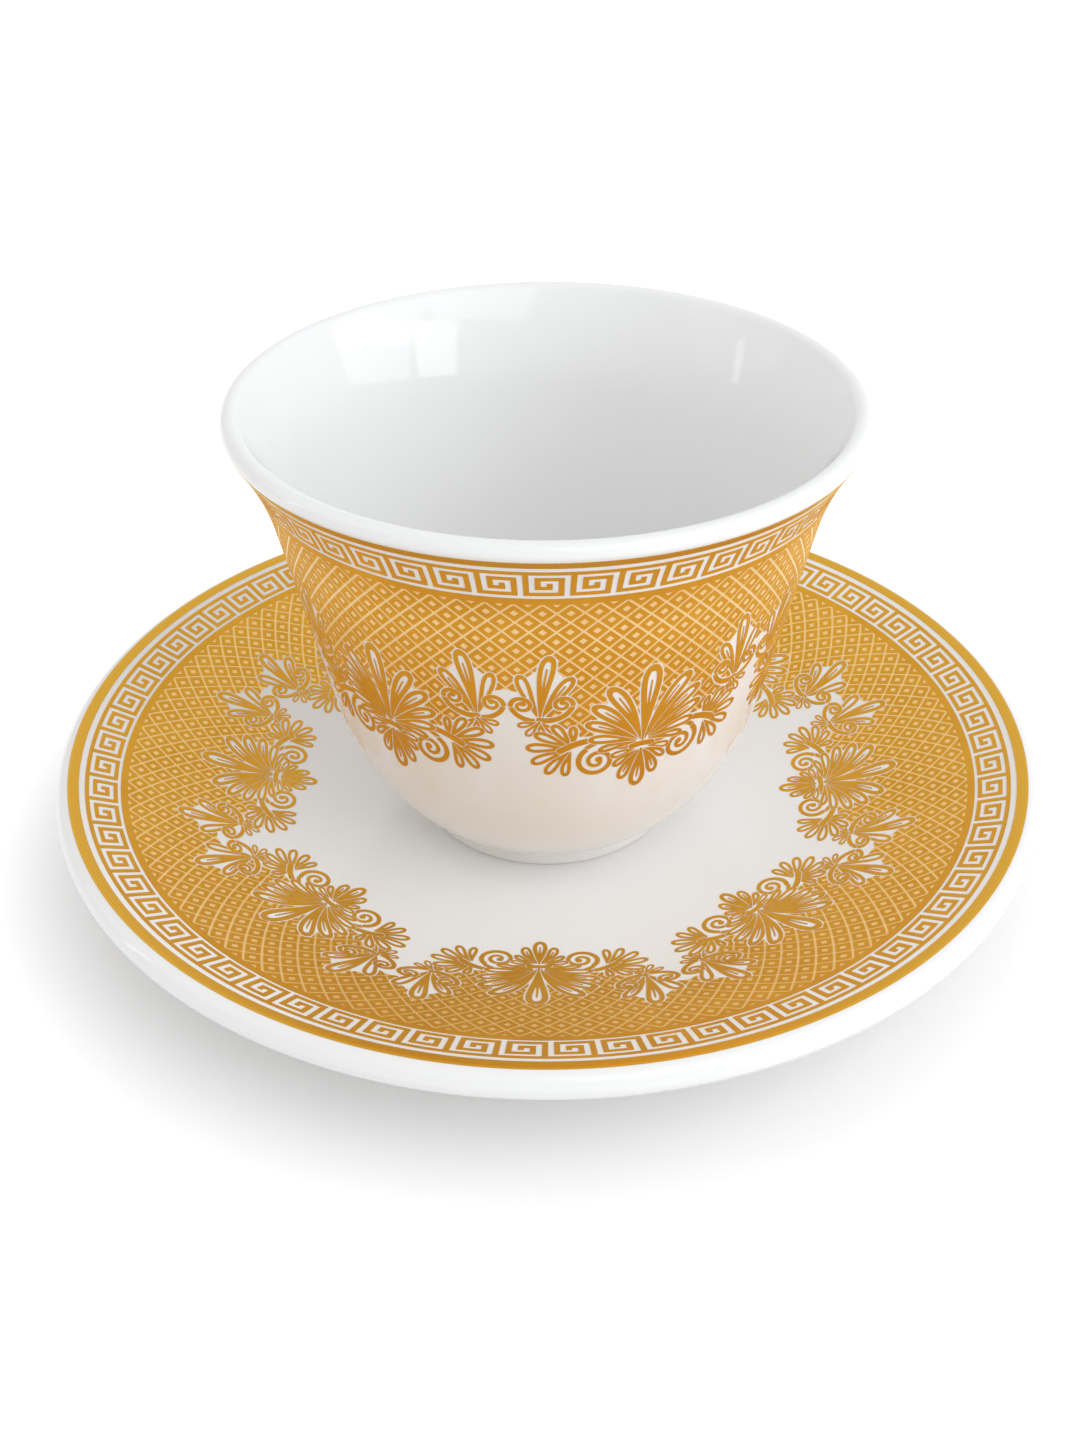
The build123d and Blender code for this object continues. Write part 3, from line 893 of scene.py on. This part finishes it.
def thin_gold(name, tint):
    """Thin gold under a lattice: paler and smoother than the print, so it flashes white in the light."""
    material, tree, place = surface(name)
    cloud = node(tree, "ShaderNodeTexNoise", {"Vector": place, "Scale": per_mm(5), "Detail": 3.0})
    gloss = node(tree, "ShaderNodeMapRange", {
        "Value": cloud.outputs["Fac"], "To Min": 0.34, "To Max": 0.46})
    skin = node(tree, "ShaderNodeBsdfPrincipled", {
        "Base Color": tint, "Metallic": 0.65, "Roughness": gloss.outputs["Result"]})
    node(tree, "ShaderNodeOutputMaterial", {"Surface": skin.outputs["BSDF"]})
    return material


def gold_wash_cup(finish):
    """The cup's thin gold, which lets the white under it through."""
    return thin_gold("gold_wash_cup", finish.cup_wash)


def gold_wash_saucer(finish):
    """The saucer's thin gold, which is laid on more fully."""
    return thin_gold("gold_wash_saucer", finish.saucer_wash)


def gold_line(finish):
    """Bright gold brushed on while the piece turns: a smooth metal with faint streaks along the line."""
    material, tree, place = surface("gold_line")
    apart = node(tree, "ShaderNodeSeparateXYZ", {"Vector": place})
    flat = node(tree, "ShaderNodeCombineXYZ", {"X": apart.outputs["X"], "Y": apart.outputs["Y"]})
    radius = node(tree, "ShaderNodeVectorMath", {0: flat.outputs["Vector"]}, operation="LENGTH")
    across = node(tree, "ShaderNodeMath", {
        0: radius.outputs["Value"], 1: apart.outputs["Z"]}, operation="ADD")
    # The hairs of a brush leave finer streaks, drawn 0.2 mm wide so that they show
    streak = node(tree, "ShaderNodeTexNoise", {
        "W": across.outputs["Value"], "Scale": per_mm(0.2), "Detail": 2.0}, noise_dimensions="1D")
    tone = node(tree, "ShaderNodeMix", {
        "Factor": streak.outputs["Fac"], "A": finish.line_thin, "B": finish.line}, data_type="RGBA")
    bright = node(tree, "ShaderNodeMapRange", {
        "Value": streak.outputs["Fac"], "To Min": 0.38, "To Max": 0.5})
    skin = node(tree, "ShaderNodeBsdfPrincipled", {
        "Base Color": tone.outputs["Result"], "Metallic": 1.0, "Roughness": bright.outputs["Result"]})
    node(tree, "ShaderNodeOutputMaterial", {"Surface": skin.outputs["BSDF"]})
    return material


def seen_ray(tree):
    """1 for rays that show the stage to the eye, straight on or mirrored, and 0 for rays that light."""
    path = node(tree, "ShaderNodeLightPath").outputs
    mirrored = node(tree, "ShaderNodeMath", {
        0: path["Is Camera Ray"], 1: path["Is Glossy Ray"]}, operation="MAXIMUM")
    shown_to = node(tree, "ShaderNodeMath", {
        0: mirrored.outputs["Value"], 1: path["Is Transmission Ray"]}, operation="MAXIMUM")
    unlit = node(tree, "ShaderNodeMath", {0: path["Diffuse Depth"], 1: 0.5}, operation="LESS_THAN")
    seen = node(tree, "ShaderNodeMath", {
        0: shown_to.outputs["Value"], 1: unlit.outputs["Value"]}, operation="MULTIPLY")
    return seen.outputs["Value"]


def pale_table(finish):
    """Matt pale table with a painted glow that the eye sees: faint near the saucer, so the real soft
    shadow there stays, and rising farther out to paint the table plain white.
    """
    material, tree, place = surface("pale_table")
    # Painted light: a glow seen straight on and in mirrors, growing with the distance from the middle, so
    # the table is painted white away from the saucer and stays darker near it
    away = node(tree, "ShaderNodeVectorMath", {0: place}, operation="LENGTH")
    white = node(tree, "ShaderNodeMapRange", {
        "Value": away.outputs["Value"], "From Min": PAINTED_GLOW_RAMP[0], "From Max": PAINTED_GLOW_RAMP[1],
        "To Min": PAINTED_TABLE_GLOW[0], "To Max": PAINTED_TABLE_GLOW[1]}, interpolation_type="SMOOTHSTEP")
    seen = node(tree, "ShaderNodeMath", {
        0: seen_ray(tree), 1: white.outputs["Result"]}, operation="MULTIPLY")
    skin = node(tree, "ShaderNodeBsdfPrincipled", {
        "Base Color": finish.table, "Roughness": 0.9, "Specular IOR Level": 0.0,
        "Emission Color": linear("#FFFFFF"), "Emission Strength": seen.outputs["Value"]})
    node(tree, "ShaderNodeOutputMaterial", {"Surface": skin.outputs["BSDF"]})
    return material


def finish_named(make):
    """A finish made once, the first time that it is asked for."""
    return bpy.data.materials.get(make.__name__) or make(bpy.context.scene.coffee_finish)


# Pieces

STANDING = 0.01     # height in millimetres over the standing level that still counts as standing
FACING_DOWN = -0.9  # upright share of a face's direction, under which it faces down


class CoffeePiece:
    """What the operators share."""
    bl_options = {"REGISTER", "UNDO"}


def bare_foot(mesh, level):
    """Marks the faces that stand on what is below as biscuit."""
    mesh.materials.append(finish_named(biscuit_porcelain))
    for face in mesh.polygons:
        if face.center.z < (level + STANDING) * MM and face.normal.z < FACING_DOWN:
            face.material_index = 1


class COFFEE_OT_saucer(CoffeePiece, bpy.types.Operator):
    """Turns the saucer's porcelain, with its foot ring, well, sloping rim and rolled edge"""
    bl_idname = "coffee.saucer"
    bl_label = "Saucer porcelain"

    def execute(self, context):
        saucer = in_mm(context.scene.coffee_saucer)
        points, faces = turned(saucer_profile(saucer_section(saucer)), SAUCER_SEGMENTS)
        mesh = mesh_of("saucer_porcelain", points, faces)
        shown("saucer_porcelain", mesh, finish_named(glazed_porcelain), "saucer", "saucer_body")
        bare_foot(mesh, 0)
        return {"FINISHED"}


class COFFEE_OT_cup(CoffeePiece, bpy.types.Operator):
    """Turns the cup's porcelain, with its foot ring, round belly, straight wall, flare and lip"""
    bl_idname = "coffee.cup"
    bl_label = "Cup porcelain"

    def execute(self, context):
        saucer, cup, _ = sizes()
        points, faces = turned(cup_profile(cup_section(cup, saucer.well)), CUP_SEGMENTS)
        mesh = mesh_of("cup_porcelain", points, faces)
        shown("cup_porcelain", mesh, finish_named(glazed_porcelain), "cup", "cup_body")
        bare_foot(mesh, saucer.well)
        return {"FINISHED"}


def faces_of(saucer, cup):
    """The glaze that the gold lies on: the saucer's top face by radius, and the cup's side by height."""
    on_saucer = partial(saucer_top, saucer_section(saucer))
    on_cup = partial(cup_outside, cup_section(cup, saucer.well))
    return on_saucer, on_cup


def saucer_edge(node_name):
    """Outer radius of a gold band on the saucer."""
    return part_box(node_name)[1].x / MM


def cup_edges(node_name):
    """Lower and upper edge of a gold band on the cup."""
    return [corner.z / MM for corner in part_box(node_name)]


def lay_gold(films, body, what, make, area):
    """Shows films as one piece of a body's gold, which stands for an area of its decoration."""
    name = f"{body}_gold_{what}"
    shown(name, films.mesh(name), finish_named(make), body, f"{body}_{area}")


class COFFEE_OT_lines(CoffeePiece, bpy.types.Operator):
    """Lays the gold lines under the cup's lip and on the saucer's rim"""
    bl_idname = "coffee.lines"
    bl_label = "Gold lines"

    def execute(self, context):
        saucer, cup, gold = sizes()
        on_saucer, on_cup = faces_of(saucer, cup)
        films = Films(on_saucer, -1, gold.relief, gold.root)
        out = saucer_edge("saucer_rim_line")
        films.ring(out - gold.saucer_line, out, SAUCER_SEGMENTS)
        lay_gold(films, "saucer", "line", gold_line, "rim_line")
        films = Films(on_cup, 1, gold.relief, gold.root)
        films.ring(*cup_edges("cup_rim_line"), CUP_SEGMENTS)
        lay_gold(films, "cup", "line", gold_line, "rim_line")
        return {"FINISHED"}


def key_band(films, low, high, across, repeats, start, segments):
    """A running line with keys under it, between two places across the glaze."""
    cell = (high - low) / KEY_CELLS
    films.ring(high - cell, high, segments)
    sheet = Sheet(across, -3 * STEP, KEY_END)
    draw_key(sheet)
    wrap(films, cut_out(sheet), across, repeats, start, low, cell)


class COFFEE_OT_keys(CoffeePiece, bpy.types.Operator):
    """Lays the Greek key bands, each hung from a running line"""
    bl_idname = "coffee.keys"
    bl_label = "Gold key bands"

    def execute(self, context):
        saucer, cup, gold = sizes()
        on_saucer, on_cup = faces_of(saucer, cup)
        films = Films(on_saucer, -1, gold.relief, gold.root)
        out = saucer_edge("saucer_key_band")
        key_band(films, out - gold.saucer_key, out, 2 * pi * out / gold.saucer_keys, gold.saucer_keys,
                 gold.saucer_key_turn, SAUCER_SEGMENTS)
        lay_gold(films, "saucer", "keys", gold_print, "key_band")
        films = Films(on_cup, 1, gold.relief, gold.root)
        low, high = cup_edges("cup_key_band")
        key_band(films, low, high, pi * cup.diameter / gold.cup_keys, gold.cup_keys, gold.cup_key_turn,
                 CUP_SEGMENTS)
        lay_gold(films, "cup", "keys", gold_print, "key_band")
        return {"FINISHED"}


class COFFEE_OT_garlands(CoffeePiece, bpy.types.Operator):
    """Lays the lattice of diamonds and the leafy garland that it ends in, on the saucer and the cup"""
    bl_idname = "coffee.garlands"
    bl_label = "Gold lattice and garland"

    def execute(self, context):
        saucer, cup, gold = sizes()
        on_saucer, on_cup = faces_of(saucer, cup)
        garland, wash, lattice = (Sheet(REPEAT, -SPARE, GARLAND_TOP + SPARE) for _ in range(3))
        draw_garland(garland)
        draw_wash(wash, garland, gold.halo)
        leaves = cut_out(garland)
        ground = cut_out(wash, 0)
        on_both = (
            SimpleNamespace(
                body="saucer", face=on_saucer, way=-1, segments=SAUCER_SEGMENTS, thin=gold_wash_saucer,
                low=gold.saucer_tip, high=saucer_edge("saucer_lattice_band"),
                repeats=gold.saucer_repeats, start=gold.saucer_turn, diamonds=gold.saucer_diamonds),
            SimpleNamespace(
                body="cup", face=on_cup, way=1, segments=CUP_SEGMENTS, thin=gold_wash_cup,
                low=cup_edges("cup_leaf_border")[0], high=cup_edges("cup_lattice_band")[1],
                repeats=gold.cup_repeats, start=gold.cup_turn, diamonds=gold.cup_diamonds),
        )
        for on in on_both:
            scale = (on.high - gold.strip - on.low) / GARLAND_TOP
            places = (REPEAT, on.repeats, on.start, on.low, scale)
            films = Films(on.face, on.way, gold.relief, gold.root)
            wrap(films, leaves, *places)
            lay_gold(films, on.body, "garland", gold_print, "leaf_border")
            films = Films(on.face, on.way, gold.wash, gold.root)
            wrap(films, ground, *places)
            lay_gold(films, on.body, "wash", on.thin, "lattice_band")
            draw_lattice(lattice, wash, gold, on.diamonds, gold.diamond / scale)
            films = Films(on.face, on.way, gold.relief, gold.root)
            films.ring(on.high - gold.strip, on.high, on.segments)
            wrap(films, cut_out(lattice), *places)
            lay_gold(films, on.body, "lattice", gold_print, "lattice_band")
        return {"FINISHED"}


# Stage, in metres and degrees

TABLE_SIZE = 6.0
WORLD_LIGHT = 0.7           # light from all round, where 1 is white
LAMP_AIM = Vector((0, 0, 0.03))  # what the lamps face
# Lamps: azimuth, elevation, distance, width, height, watts and tint
LAMPS = {
    "window_wide": (-11, 16.4, 0.99, 0.55, 0.62, 1.4, "#F6FAFF"),
    "window_narrow": (-40, 16.4, 0.99, 0.31, 0.62, 1.5, "#F6FAFF"),
    "window_high": (-12, 40, 1.1, 0.7, 0.6, 1.5, "#F6FAFF"),
    "front_high": (-60, 50, 1.1, 0.7, 0.6, 1.7, "#F6FAFF"),
    "left_fill": (180, 35, 1.2, 0.9, 0.9, 1.2, "#FFFFFF"),
    "far_window": (180, 13, 0.95, 0.06, 0.42, 0.16, "#FFFFFF"),
}
CAMERA_PLACE = (0.0, -0.16668, 0.13090)
CAMERA_PITCH = 34.574       # down from level
CAMERA_YAW = -0.299         # to the right of the table's y axis
CAMERA_ROLL = -0.341
FOCAL_PIXELS = 1648.5       # focal length in pixels of the photograph
FRAME_HEIGHT = 1440         # height of the photograph in pixels
SENSOR = 36.0               # longer side of the sensor in millimetres


def soft_box(name, azimuth, elevation, distance, wide, high, watts, tint):
    """A soft rectangular lamp that faces the cup."""
    lamp = bpy.data.lights.new(name, "AREA")
    lamp.shape = "RECTANGLE"
    lamp.size = wide
    lamp.size_y = high
    lamp.energy = watts
    lamp.color = linear(tint)[:3]
    made = bpy.data.objects.new(name, lamp)
    way = Vector((cos(radians(azimuth)) * cos(radians(elevation)),
                  sin(radians(azimuth)) * cos(radians(elevation)), sin(radians(elevation))))
    made.location = way * distance + LAMP_AIM
    made.rotation_euler = way.to_track_quat("Z", "Y").to_euler()
    made.visible_camera = False
    bpy.context.scene.collection.objects.link(made)


def set_table(scene):
    """A flat table, which belongs to the stage."""
    half = TABLE_SIZE / 2
    corners = [(-half, -half, 0), (half, -half, 0), (half, half, 0), (-half, half, 0)]
    mesh = bpy.data.meshes.new("table")
    mesh.from_pydata(corners, [], [(0, 1, 2, 3)])
    table = bpy.data.objects.new("table", mesh)
    table.data.materials.append(finish_named(pale_table))
    scene.collection.objects.link(table)


def set_world(scene):
    """Even light from all round, and plain white where the eye sees past the table."""
    world = bpy.data.worlds.new("studio")
    world.use_nodes = True
    tree = world.node_tree
    tree.nodes.clear()
    light = node(tree, "ShaderNodeBackground", {"Color": linear("#FCFCFD"), "Strength": WORLD_LIGHT})
    white = node(tree, "ShaderNodeBackground", {"Color": linear("#FFFFFF"), "Strength": 1.0})
    both = node(tree, "ShaderNodeMixShader", {
        0: seen_ray(tree), 1: light.outputs["Background"], 2: white.outputs["Background"]})
    node(tree, "ShaderNodeOutputWorld", {"Surface": both.outputs["Shader"]})
    scene.world = world


def set_camera(scene):
    """The photograph's camera, with its place, direction and focal length."""
    camera = bpy.data.cameras.new("camera")
    camera.sensor_width = SENSOR
    camera.lens = FOCAL_PIXELS / FRAME_HEIGHT * SENSOR
    camera.clip_start = 0.01
    camera.clip_end = 20.0
    eye = bpy.data.objects.new("camera", camera)
    scene.collection.objects.link(eye)
    pitch, yaw, roll = (radians(a) for a in (CAMERA_PITCH, CAMERA_YAW, CAMERA_ROLL))
    right = Vector((cos(yaw), -sin(yaw), 0))
    level = Vector((sin(yaw), cos(yaw), 0))
    ahead = cos(pitch) * level - sin(pitch) * Vector((0, 0, 1))
    up = sin(pitch) * level + cos(pitch) * Vector((0, 0, 1))
    axes = (cos(roll) * right + sin(roll) * up, cos(roll) * up - sin(roll) * right, -ahead)
    turned_to = Matrix(axes).transposed().to_4x4()
    eye.matrix_world = Matrix.Translation(CAMERA_PLACE) @ turned_to
    scene.camera = eye


class COFFEE_OT_stage(CoffeePiece, bpy.types.Operator):
    """Sets the table, the soft light and the camera"""
    bl_idname = "coffee.stage"
    bl_label = "Table, light and camera"

    def execute(self, context):
        scene = context.scene
        set_table(scene)
        for name, settings in LAMPS.items():
            soft_box(name, *settings)
        set_world(scene)
        set_camera(scene)
        scene.view_settings.view_transform = "Standard"
        return {"FINISHED"}


class COFFEE_PT_panel(bpy.types.Panel):
    """Lists the steps that build the cup and saucer"""
    bl_idname = "COFFEE_PT_panel"
    bl_label = "Coffee cup"
    bl_space_type = "VIEW_3D"
    bl_region_type = "UI"
    bl_category = "Coffee cup"

    def draw(self, context):
        for step in STEPS:
            self.layout.operator(step.bl_idname)
        for name in GROUPS:
            group = getattr(context.scene, name)
            for key in type(group).__annotations__:
                self.layout.prop(group, key)


GROUPS = {
    "coffee_saucer": SaucerSizes,
    "coffee_cup": CupSizes,
    "coffee_gold": GoldSizes,
    "coffee_finish": Finishes,
}
STEPS = (
    COFFEE_OT_saucer, COFFEE_OT_cup, COFFEE_OT_lines, COFFEE_OT_keys, COFFEE_OT_garlands, COFFEE_OT_stage)
CLASSES = (*GROUPS.values(), *STEPS, COFFEE_PT_panel)


def register():
    """Adds the classes, and the groups of sizes and colours to the scene."""
    for kind in CLASSES:
        bpy.utils.register_class(kind)
    for name, kind in GROUPS.items():
        setattr(bpy.types.Scene, name, bpy.props.PointerProperty(type=kind))


def unregister():
    """Takes the groups and the classes away again."""
    for name in GROUPS:
        delattr(bpy.types.Scene, name)
    for kind in reversed(CLASSES):
        bpy.utils.unregister_class(kind)


def main():
    """Builds the cup, the saucer and the stage."""
    register()
    bpy.ops.coffee.saucer()
    bpy.ops.coffee.cup()
    bpy.ops.coffee.lines()
    bpy.ops.coffee.keys()
    bpy.ops.coffee.garlands()
    bpy.ops.coffee.stage()


if __name__ == "__main__":
    main()
